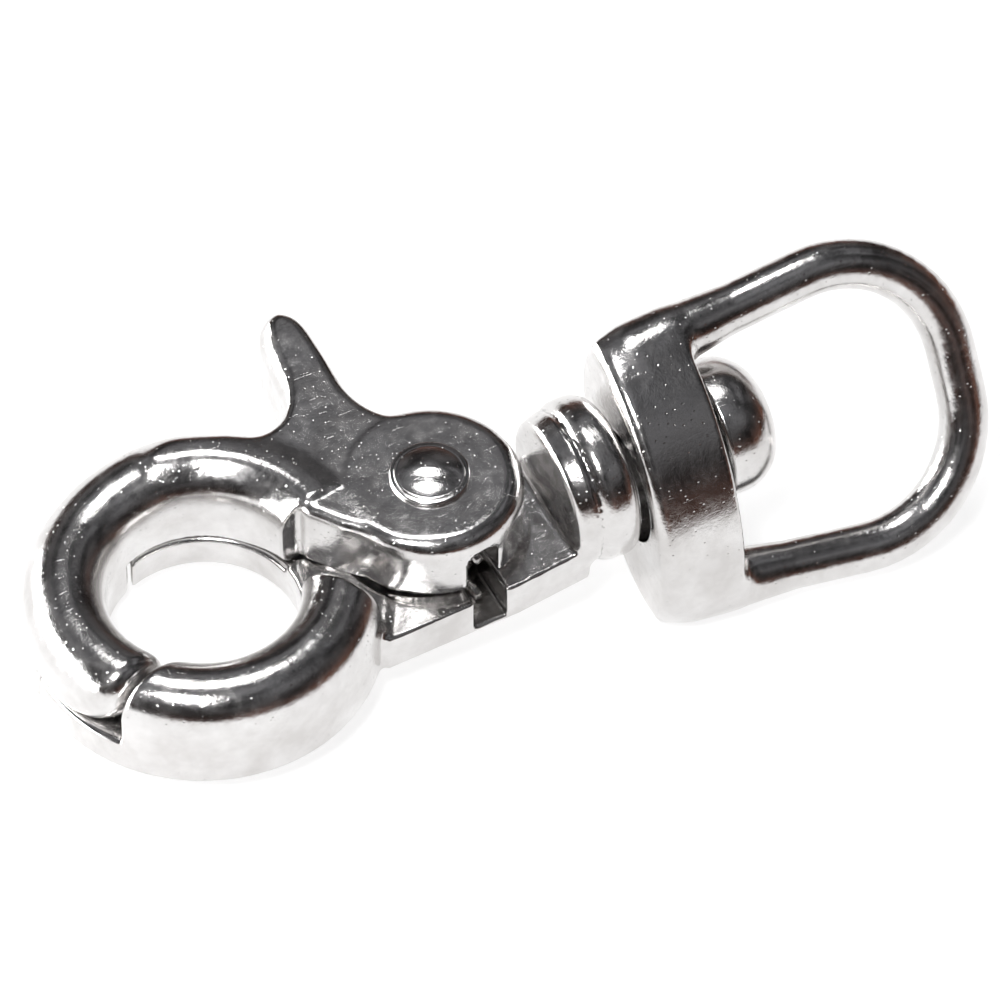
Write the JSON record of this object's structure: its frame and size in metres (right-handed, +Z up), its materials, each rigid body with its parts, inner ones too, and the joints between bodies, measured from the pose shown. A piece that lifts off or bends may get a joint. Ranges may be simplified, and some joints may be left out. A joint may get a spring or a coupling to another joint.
{
  "type": "swivel snap hook",
  "caption": "Nickel-plated trigger snap hook with a thumb lever on a sprung pivot and a swivelling strap eye.",
  "frame": {"origin": "centre of the pivot rivet where it meets the flat underside of the hook body", "axes": "+Z up along the pivot rivet, +X from the jaw towards the swivel and strap eye, +Y towards the side the thumb horn stands out on"},
  "size_m": [0.0659, 0.0281, 0.0191],
  "materials": {
    "nickel": "bright nickel plate over a die-cast body, worn with fine scratches",
    "steel": "nickel-plated steel, turned",
    "spring": "drawn spring wire, dull"
  },
  "bodies": {
    "hook": {"hook_body": "nickel", "pivot_rivet": "steel", "torsion_spring": "spring", "swivel_stud": "nickel"},
    "lever": {"trigger_lever": "nickel"},
    "eye": {"swivel_eye": "nickel"}
  },
  "joints": [
    {"name": "lever_pivot", "type": "hinge", "parent": "hook", "child": "lever", "pos_m": [0, 0, 0], "axis": [0, 0, 1], "range_deg": [-28, 0], "stiffness_Nm_per_rad": 0.03, "springref_deg": 34.38, "deforming": ["torsion_spring"]},
    {"name": "swivel", "type": "hinge", "parent": "hook", "child": "eye", "pos_m": [0.0154, -0.00295, 0.00355], "axis": [0.9993, -0.0279, -0.0262], "continuous": true}
  ]
}
